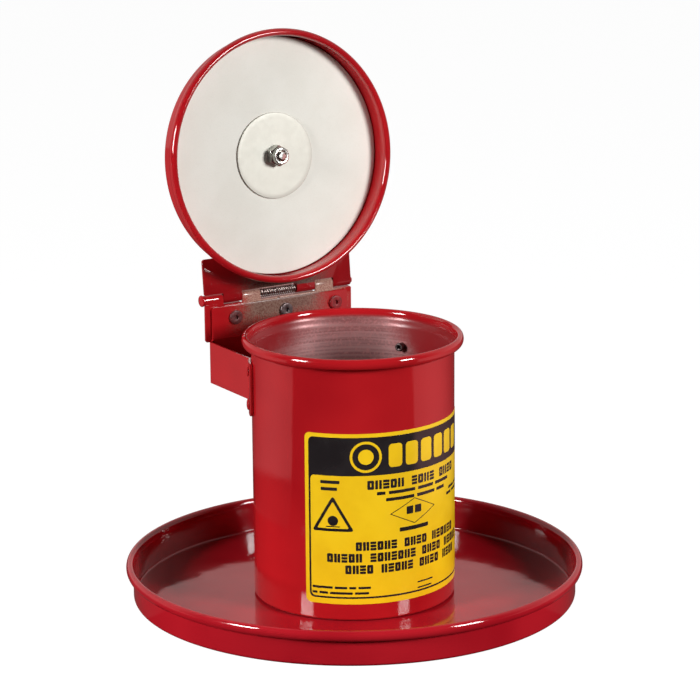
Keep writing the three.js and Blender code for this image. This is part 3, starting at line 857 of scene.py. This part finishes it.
def bracket_bend(u, v):
    """Middle of the bracket's sheet, in plan, u along the sheet from its centre."""
    side = 1 if u >= 0 else -1
    s = abs(u)
    if s <= U_WEB:
        x, y, out = s, WEB_BACK - BRACKET_SHEET / 2, (0, 1)
    elif s <= U_ARM:
        t = (s - U_WEB) / ARM_BEND
        out = (sin(t), cos(t))
        x, y = WEB_HALF + ARM_BEND * out[0], BEND_Y + ARM_BEND * out[1]
    elif s <= U_FOOT:
        x, y, out = ARM_MID, BEND_Y - (s - U_ARM), (1, 0)
    elif s <= U_TAB:
        t = (s - U_FOOT) / FOOT_BEND
        out = (cos(t), sin(t))
        x, y = ARM_MID + FOOT_BEND - FOOT_BEND * out[0], FOOT_Y - FOOT_BEND * out[1]
    else:
        t = FOOT_ANGLE - (s - U_TAB) / TAB_MID_R
        out = (cos(t), sin(t))
        x, y = TAB_MID_R * out[0], TAB_MID_R * out[1]
    return Vector((side * x, y, v)), Vector((side * out[0], out[1], 0))


def make_bracket():
    step_in = U_TAB + 0.9 * MM
    turns = [  # rounded corners from the web's top down: centre, radius in mm, two angles, steps
        (WEB_HALF - 1.5 * MM, WEB_TOP - 1.5 * MM, 1.5, 90, 0, 6),
        (WEB_HALF + 1.0 * MM, ARM_TOP + 1.0 * MM, 1.0, 180, 270, 5),
        (U_END - 3 * MM, ARM_TOP - 3 * MM, 3, 90, 0, 8),
        (U_END - 3 * MM, TAB_LOW + 3 * MM, 3, 0, -90, 8),
        (step_in + 1 * MM, TAB_LOW + 1 * MM, 1, 270, 180, 4),
        (step_in - 1 * MM, ARM_LOW - 1 * MM, 1, 0, 90, 4),
    ]
    right = [(0, WEB_TOP)]
    for u, v, radius, start, end, steps in turns:
        right += arc(u, v, radius * MM, radius * MM, start, end, steps)
    right += [(0, ARM_LOW)]
    left = [(-u, v) for u, v in reversed(right[1:-1])]
    half_cuts = spaced(U_WEB, U_ARM, 0.35 * MM) + spaced(U_FOOT, U_TAB, 0.25 * MM)
    half_cuts += spaced(U_TAB, U_END, 1.2 * MM)[1:-1]
    cuts = [-u for u in half_cuts] + half_cuts
    obj = sheet_metal("bracket_fine", [right + left], cuts, bracket_bend, BRACKET_SHEET, [web_paint])
    keep(obj, "can", "red_enamel", "hinge_bracket")


def tail_paint(name, colour):
    """Rivet tail caught by a thin coat of overspray."""
    s = Shader(name, IOR=1.5)
    s.set("Base Color", s.mottle(colour, dimmed(colour, 0.5), 700, 3, 0.35, 0.65))
    s.rough(500, 2, 0.28, 0.42)
    return s.material


def rivet_parts(shank, tail_r, tail_face, tail_seat, head_seat, head_r, head_h):
    """Profiles of a blind rivet along +Z: rolled hollow tail low, domed head high."""
    bore = shank * 0.6
    roll = min(0.45 * MM, (tail_seat - tail_face) * 0.45)
    tail = [(0, tail_seat - 0.2 * MM), (bore, tail_seat - 0.2 * MM), (bore, tail_face + roll)]
    tail += arc(bore + roll, tail_face + roll, roll, roll, 180, 270, 4)
    tail += arc(tail_r - roll, tail_face + roll, roll, roll, 270, 360, 4)
    tail += [(tail_r * 0.97, tail_seat), (shank, tail_seat)]
    head = [(shank, head_seat), (head_r, head_seat)]
    head += arc(0, head_seat + 0.25 * MM, head_r, head_h - 0.25 * MM, 0, 90, 8)
    return tail + head


def make_rivet(name, profile, split, origin, direction, materials, body, node):
    """Rivet laid along a direction; the tail below split has the second material."""
    turn = direction.to_track_quat("Z", "Y").to_matrix().to_4x4()
    place = Matrix.Translation(origin) @ turn
    obj = lathe(name, profile, materials, 40, place, lambda a, b: 1 if max(a[1], b[1]) < split else 0)
    keep(obj, body, "bare_steel", node)


def rivet_place(node, along):
    """Centre of a rivet's CAD node with its part along one direction removed."""
    low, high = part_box(node)
    centre = (low + high) / 2
    return centre - along * centre.dot(along)


def make_tab_rivets():
    """Two rivets through each tab and the can's wall, with their tails inside the can."""
    wall_in = CAN_OUT - CAN_SHEET
    tab_out = CAN_OUT + GAP + BRACKET_SHEET
    profile = rivet_parts(SMALL_SHANK, 2.5 * MM, wall_in - 3.9 * MM, wall_in - GAP,
                          tab_out + SEAT, SMALL_HEAD, 1.2 * MM)
    for i in range(4):
        node = f"bracket_rivet_{i + 1}"
        low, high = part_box(node)
        middle = (low + high) / 2
        out = Vector((middle.x, middle.y, 0)).normalized()
        height = Vector((0, 0, middle.z))
        make_rivet(node + "_fine", profile, wall_in, height, out, [enamel, rivet_tail], "can", node)


def make_web_rivets():
    """Three rivets through the web and the lower leaf; each tail has its own amount of paint."""
    web_front = WEB_BACK - BRACKET_SHEET
    leaf_back = AXIS.y - KNUCKLE_R + LEAF_SHEET
    profile = rivet_parts(LARGE_SHANK, 4.2 * MM, web_front - 1.6 * MM, web_front - 0.05 * MM,
                          leaf_back + SEAT, 4.0 * MM, 1.2 * MM)
    along = Vector((0, 1, 0))
    tails = (tail_paint("tail_left", (0.13, 0.028, 0.028, 1)), rivet_tail,
             tail_paint("tail_right", (0.30, 0.012, 0.016, 1)))
    for i, tail in enumerate(tails):
        node = f"lower_leaf_rivet_{i + 1}"
        place = rivet_place(node, along)
        make_rivet(node + "_fine", profile, WEB_BACK, place, along, [enamel, tail], "can", node)


def make_lid_rivets():
    """Three rivets through the upper leaf and the lid, hidden behind the liner."""
    pan_floor = PAN_TOP - PAN_SHEET
    profile = rivet_parts(SMALL_SHANK, 2.6 * MM, pan_floor - 1.8 * MM, pan_floor - GAP,
                          PAN_TOP + GAP + LEAF_SHEET + SEAT, SMALL_HEAD, 1.1 * MM)
    for i in range(3):
        node = f"upper_leaf_rivet_{i + 1}"
        place = OPEN @ Matrix.Translation(Vector(((i - 1) * LID_RIVET_PITCH, LID_RIVET_Y, 0)))
        obj = lathe(node + "_fine", profile, [enamel], 40, place)
        keep(obj, "lid", "bare_steel", node)


# -------- hinge


def leaf_bend(u, v):
    """Middle of a leaf in hinge coordinates: u up the plate and round the knuckle, v along the pin."""
    ring = KNUCKLE_R - LEAF_SHEET / 2
    if u <= LEAF_LENGTH:
        return Vector((v, -ring, u - LEAF_LENGTH)), Vector((0, -1, 0))
    t = (u - LEAF_LENGTH) / ring
    out = Vector((0, -cos(t), sin(t)))
    return Vector((v, 0, 0)) + out * ring, out


def leaf_outline(slotted):
    """Plate with three tongues that roll into knuckles, and perhaps a slot for the spring's leg."""
    ring = KNUCKLE_R - LEAF_SHEET / 2
    tip = LEAF_LENGTH + ring * CURL
    edge = LEAF_LENGTH - NOTCH
    tongues = [(-4, -3), (-2, -1), (2, 3)]
    corner = 1.0 * MM
    points = [(corner, LEAF_HALF), (0, LEAF_HALF - corner), (0, -LEAF_HALF + corner), (corner, -LEAF_HALF)]
    v = -LEAF_HALF
    for start, end in tongues:
        v0 = start * KNUCKLE + (KNUCKLE_GAP / 2 if start > -4 else 0)
        v1 = end * KNUCKLE - KNUCKLE_GAP / 2
        if start > -4:
            points += [(edge - 0.01 * MM, v), (edge, v0 - 0.3 * MM), (edge + 0.3 * MM, v0)]
        points += [(tip, v0), (tip, v1), (edge + 0.3 * MM, v1), (edge, v1 + 0.3 * MM)]
        v = v1 + 0.6 * MM
        if start == -2 and slotted:
            deep = edge - 1.5 * MM
            points += [(edge, -1.6 * MM), (deep, -1.6 * MM), (deep, 0.4 * MM), (edge, 0.4 * MM)]
            v = 0.8 * MM
    points += [(edge, LEAF_HALF - 0.6 * MM), (edge - 0.6 * MM, LEAF_HALF)]
    return points


def make_leaf(name, place, slotted, paint, body, node):
    cuts = spaced(LEAF_LENGTH, LEAF_LENGTH + (KNUCKLE_R - LEAF_SHEET / 2) * CURL, 0.5 * MM)[:-1]
    outline = leaf_outline(slotted)
    obj = sheet_metal(name, [outline], cuts, leaf_bend, LEAF_SHEET, [paint], 0.18 * MM, place)
    keep(obj, body, "red_enamel", node)


def make_gap_shade_blocks():
    """Painted shade: blocks in the lower leaf's paint, under the other leaf's knuckles, that close the
    gaps there so they show shade and not the background.
    """
    low, high = AXIS.z - NOTCH - 1.0 * MM, AXIS.z - NOTCH
    front, back = AXIS.y - KNUCKLE_R + LEAF_SHEET - 0.1 * MM, AXIS.y + 1.2 * MM
    for start, end in ((-3, -2), (-1, 2), (3, 4)):
        x0, x1 = start * KNUCKLE + GAP, end * KNUCKLE - GAP
        verts = [(x, y, z) for x in (x0, x1) for y in (front, back) for z in (low, high)]
        faces = [(0, 1, 3, 2), (4, 6, 7, 5), (0, 4, 5, 1), (2, 3, 7, 6), (0, 2, 6, 4), (1, 5, 7, 3)]
        lip = finished(f"gap_shade_block_{start + 3}", verts, faces, [lower_leaf_paint])
        keep(lip, "can", "red_enamel")


def make_pin():
    """Pin with a painted domed head at one end and a painted, burred tip at the other."""
    end = LEAF_HALF + GAP
    profile = [(0, -end - 1.5 * MM)]
    profile += arc(0, -end - 0.5 * MM, PIN_HEAD, 1.0 * MM, -90, 0, 10)[1:]
    profile += [(PIN_HEAD, -end - 0.1 * MM), (PIN_HEAD - 0.15 * MM, -end), (PIN_R, -end), (PIN_R, end)]
    profile += [(PIN_R + 0.45 * MM, end + 0.1 * MM), (PIN_R + 0.5 * MM, end + 0.5 * MM)]
    profile += [(PIN_R + 0.2 * MM, end + 1.1 * MM), (0, end + 1.4 * MM)]

    def bare_between_ends(a, b):
        return 1 if max(abs(a[1]), abs(b[1])) <= end + 0.01 * MM else 0

    along_x = Matrix.Translation(AXIS) @ Matrix.Rotation(pi / 2, 4, "Y")
    obj = lathe("pin_fine", profile, [enamel, steel], 40, along_x, bare_between_ends)
    keep(obj, "can", "bare_steel", "hinge_pin")


def make_spring():
    steps = SPRING_TURNS * 28
    points = []
    for i in range(steps + 1):
        t = i / steps
        turn = tau * SPRING_TURNS * t
        x = SPRING_HALF * (2 * t - 1)
        points.append(AXIS + Vector((x, SPRING_R * cos(turn), SPRING_R * sin(turn))))
    obj = tube("spring_fine", points, SPRING_WIRE, [spring_wire()], 12)
    keep(obj, "can", "bare_steel", "hinge_spring")


def make_hinge():
    at_axis = Matrix.Translation(AXIS)
    make_leaf("leaf_lower_fine", at_axis, True, lower_leaf_paint, "can", "hinge_leaf_lower")
    shut = at_axis @ Matrix.Rotation(pi / 2, 4, "X") @ Matrix.Rotation(pi, 4, "Y")  # turned over
    make_leaf("leaf_upper_fine", OPEN @ shut, False, upper_leaf_paint_and_shade, "lid", "hinge_leaf_upper")
    make_gap_shade_blocks()
    make_pin()
    make_spring()


# -------- lid


def make_pan(at_lid):
    wall_in = PAN_OUT - PAN_SHEET
    floor = PAN_TOP - PAN_SHEET
    inner = PAN_CORNER - PAN_SHEET
    curl = [(r, 2 * PAN_BEAD_Z - z) for r, z in rolled_edge(PAN_OUT, PAN_BEAD_R, PAN_BEAD_Z, PAN_BEAD)]
    profile = [(BOLT_HOLE, floor)] + arc(wall_in - inner, floor - inner, inner, inner, 90, 0, 6)
    profile += [(wall_in, PAN_BEAD_Z + 2.4 * MM)] + curl[::-1]
    profile += arc(PAN_OUT - PAN_CORNER, PAN_TOP - PAN_CORNER, PAN_CORNER, PAN_CORNER, 0, 90, 10)
    profile += [(BOLT_HOLE, PAN_TOP)]
    pan = lathe("lid_pan_fine", profile, [enamel], 320, at_lid)
    keep(pan, "lid", "red_enamel", "lid_pan")


def make_liner(at_lid):
    """Sheet with a soft edge, pressed in a little under its washer."""
    low, high = LINER_Z
    soft = 0.7 * MM
    back = 1.9 * MM  # chamfer of the hidden edge
    dip = 0.12 * MM
    profile = [(BOLT_HOLE, low + dip), (WASHER_R - 2 * MM, low + dip), (WASHER_R + 3 * MM, low)]
    profile += [(LINER_R - 3 * MM, low)]
    profile += arc(LINER_R - soft, low + soft, soft, soft, -90, 0, 6)
    profile += [(LINER_R, high - back), (LINER_R - back, high), (BOLT_HOLE, high)]
    liner = lathe("liner_fine", profile, [pad], 256, at_lid)
    keep(liner, "lid", "liner_pad", "lid_liner")


def make_washer(name, outer, bottom, thick, facets, material, node, at_lid):
    edge = 0.3 * MM
    ring = [(BOLT_HOLE, bottom), (outer - 3 * MM, bottom)]
    ring += arc(outer - edge, bottom + edge, edge, edge, -90, 0, 3)
    ring += arc(outer - edge, bottom + thick - edge, edge, edge, 0, 90, 3)
    ring += [(BOLT_HOLE, bottom + thick)]
    keep(lathe(name, ring, [material], facets, at_lid), "lid", "zinc_plate", node)


def make_nut(at_lid):
    """Lock nut below the liner washer, with its plastic ring."""
    top = WASHER_LOW - SNUG
    end = top - NUT_H
    nut = nut_mesh("lock_nut_fine", end, top, BOLT_R + SNUG, at_lid)
    keep(nut, "lid", "zinc_plate", "lid_lock_nut")
    ring = arc(4.15 * MM, end + 0.9 * MM, 0.75 * MM, 0.5 * MM, 0, 360, 16)[:-1]
    keep(lathe("lock_nut_ring", ring, [nylon_ring], 64, at_lid), "lid", "zinc_plate")


def make_lid():
    at_lid = OPEN @ Matrix.Translation(Vector((0, LID_Y, 0)))
    make_pan(at_lid)
    make_liner(at_lid)
    make_washer("liner_washer_fine", WASHER_R, WASHER_LOW, WASHER_SHEET, 160, zinc, "liner_washer", at_lid)
    outer_low = PAN_TOP + GAP
    make_washer("outer_washer_fine", OUTER_WASHER_R, outer_low, OUTER_WASHER_SHEET, 96, plated,
                "lid_outer_washer", at_lid)
    make_nut(at_lid)
    make_bolt(at_lid, WASHER_LOW - BOLT_REACH, outer_low + OUTER_WASHER_SHEET + SNUG, BOLT_HEAD_H)


def hex_radius(t):
    """Distance from the axis to a hexagon's side in the direction t."""
    turn = (t + pi / 6) % (pi / 3) - pi / 6
    return HEX_FLATS / 2 / cos(turn)


def nut_mesh(name, low, high, bore, place):
    """Hexagon with chamfered corners and a round collar that grips the plastic ring."""
    collar = 5.15 * MM
    outline = [(low + 0.05 * MM, 3.6 * MM), (low, 4.1 * MM), (low, 4.55 * MM), (low + 0.2 * MM, 4.95 * MM),
               (low + 0.6 * MM, collar), (low + 2.3 * MM, collar)]
    chamfer = 1.1 * MM
    for k in range(9):
        outline.append((low + 2.3 * MM + chamfer * k / 8, collar + 1.45 * MM * k / 8))
    outline += [(high - 0.6 * MM, 7 * MM), (high - 0.3 * MM, 6.3 * MM), (high, 5.8 * MM)]
    facets = 96
    verts, faces = [], []
    rows = [(low + 1.4 * MM, bore), (low + 0.5 * MM, bore)] + outline + [(high, bore)]
    for z, r in rows:
        for k in range(facets):
            t = tau * k / facets
            reach = min(r, hex_radius(t))
            verts.append(place @ Vector((reach * cos(t), reach * sin(t), z)))
    count = len(rows)
    for i in range(count):
        j = (i + 1) % count
        for k in range(facets):
            n = (k + 1) % facets
            faces.append([i * facets + k, i * facets + n, j * facets + n, j * facets + k])
    return finished(name, verts, faces, [plated], None, 28)


def make_bolt(place, end, head_low, head_h):
    """Hexagon-headed bolt; its thread is cut where the bolt shows below the nut."""
    depth = 0.62 * MM
    thread_top = end + 16 * MM
    taper = 0.9 * MM

    def radius(t, z):
        if z > head_low + 0.02 * MM:
            crown = 5.6 * MM + 0.9 * MM * min(1, (head_low + head_h - z) / (0.5 * MM))
            return min(hex_radius(t), crown)
        if z >= thread_top:
            return BOLT_R
        phase = (z / BOLT_PITCH - t / tau) % 1.0
        groove = depth * (1 - abs(2 * phase - 1)) ** 0.8
        shrink = 0.75 * MM * max(0, 1 - (z - end) / taper)
        return BOLT_R - groove - shrink

    levels = spaced(end, thread_top - 0.2 * MM, 0.12 * MM)
    levels += [thread_top, head_low, head_low + 0.04 * MM, head_low + head_h - 0.5 * MM]
    levels += [head_low + head_h - 0.2 * MM, head_low + head_h]
    bolt = radial("lid_bolt_fine", levels, radius, [plated], 72, place, 40)
    keep(bolt, "lid", "zinc_plate", "lid_bolt")


# -------- stage, light and camera

CAMERA_AT = Vector((-0.8791, -1.4063, 0.5674))
CAMERA_TARGET = Vector((-0.0013, 0.0008, 0.1450))
CAMERA_ROLL = radians(-0.469)
LENS = 153.5
FRONT = Vector((CAMERA_AT.x, CAMERA_AT.y, 0)).normalized()  # from the can towards the camera
LEFT = Vector((FRONT.y, -FRONT.x, 0))  # towards the camera's left

BACKDROP = 0.85  # in reflections: the background behind the can
DARK = 0.03  # in reflections: the background in front of it
SIDE = 1.0  # in reflections: the floor's two bright sides
AMBIENT = 0.018  # what the background adds to every surface
BACKDROP_TINT = (1, 0.62, 0.61, 1)
SIDE_TINT = (1, 0.48, 0.48, 1)
FLOOR_SEEN = 0.97  # how bright the floor looks to the camera

LIGHT_TARGET = Vector((0, 0, 0.14))
LIGHT_DISTANCE = 1.7


def plane(name, corners, material):
    mesh = bpy.data.meshes.new(name)
    mesh.from_pydata([tuple(c) for c in corners], [], [[0, 1, 2, 3]])
    mesh.materials.append(material)
    obj = linked(name, mesh)


def floor_material():
    """White sweep to the camera; in reflections only its two sides beyond the tray glow, in pink."""
    s = Shader("floor_white", Specular_IOR_Level=0.0, Roughness=0.9)
    path = s.tree.nodes.new("ShaderNodeLightPath")
    seen, mirrored = path.outputs["Is Camera Ray"], path.outputs["Is Glossy Ray"]
    pale = s.mix(s.noise(3), (0.10, 0.10, 0.10, 1), (0.09, 0.09, 0.09, 1))
    s.set("Base Color", s.mix(mirrored, pale, (0, 0, 0, 1)))
    x, y = s.axis("X"), s.axis("Y")
    away = s.distance(x, y)
    forward = s.plus(s.times(x, FRONT.x), s.times(y, FRONT.y))
    across = s.math("DIVIDE", forward, away)
    bright = s.times(s.ramp(across, 0.35, 0.39, 1, 0.06), s.ramp(across, -0.9, 0.1, 0.10, 1))
    bright = s.times(bright, s.ramp(away, 0.255, 0.280, 0.12, 1))
    glow = s.times(s.times(mirrored, bright), SIDE)
    s.set("Emission Color", s.mix(mirrored, WHITE, SIDE_TINT))
    s.set("Emission Strength", s.plus(s.times(seen, FLOOR_SEEN), glow))
    return s.material


def make_stage():
    far = 6.0
    corners = [(-far, -far, 0), (far, -far, 0), (far, far, 0), (-far, far, 0)]
    plane("floor", corners, floor_material())


def softbox(name, azimuth, elevation, width, height, power):
    """Area light at an azimuth from the camera's side, positive to its left, in degrees."""
    a, e = radians(azimuth), radians(elevation)
    direction = (FRONT * cos(a) + LEFT * sin(a)) * cos(e) + Vector((0, 0, sin(e)))
    light = bpy.data.lights.new(name, "AREA")
    light.shape = "RECTANGLE"
    light.size = width
    light.size_y = height
    light.energy = power
    obj = linked(name, light)
    obj.location = LIGHT_TARGET + direction * LIGHT_DISTANCE
    obj.rotation_euler = (-direction).to_track_quat("-Z", "Y").to_euler()
    return obj


def make_world():
    """White to the camera; in reflections pink, pale behind the can and dark in front of it."""
    world = bpy.data.worlds.new("studio")
    bpy.context.scene.world = world
    world.use_nodes = True
    n = Nodes(world.node_tree)
    direction = n.add("TexCoord", out="Generated")
    across = n.add("VectorMath", {"operation": "DOT_PRODUCT"}, "Value", i0=direction, i1=FRONT)
    path = n.tree.nodes.new("ShaderNodeLightPath").outputs
    mirrored = n.times(n.ramp(across, -0.40, 0.25, BACKDROP, DARK), path["Is Glossy Ray"])
    seen = n.math("MAXIMUM", path["Is Camera Ray"], mirrored)
    background = n.tree.nodes["Background"]
    n.put(n.math("MAXIMUM", seen, AMBIENT), background.inputs["Strength"])
    n.put(n.mix(path["Is Glossy Ray"], WHITE, BACKDROP_TINT), background.inputs["Color"])


def make_light():
    softbox("softbox_left", 56, 19, 0.40, 0.50, 27)
    softbox("softbox_right", -57, 19, 0.40, 0.50, 28)
    fill = softbox("fill_left", 98, -3, 0.9, 0.08, 7)
    fill.visible_glossy = False
    make_world()


def make_camera():
    data = bpy.data.cameras.new("camera")
    data.lens = LENS
    data.sensor_width = 36
    data.clip_start = 0.05
    data.clip_end = 50
    obj = linked("camera", data)
    look = (CAMERA_TARGET - CAMERA_AT).to_track_quat("-Z", "Y").to_matrix().to_4x4()
    obj.matrix_world = Matrix.Translation(CAMERA_AT) @ look @ Matrix.Rotation(CAMERA_ROLL, 4, "Z")
    bpy.context.scene.camera = obj
    bpy.context.scene.view_settings.view_transform = "Standard"
    bpy.context.scene.view_settings.look = "None"


make_camera()
make_stage()
make_light()
make_tray()
make_can()
make_base()
make_label()
make_bracket()
make_tab_rivets()
make_web_rivets()
make_lid_rivets()
make_hinge()
make_lid()
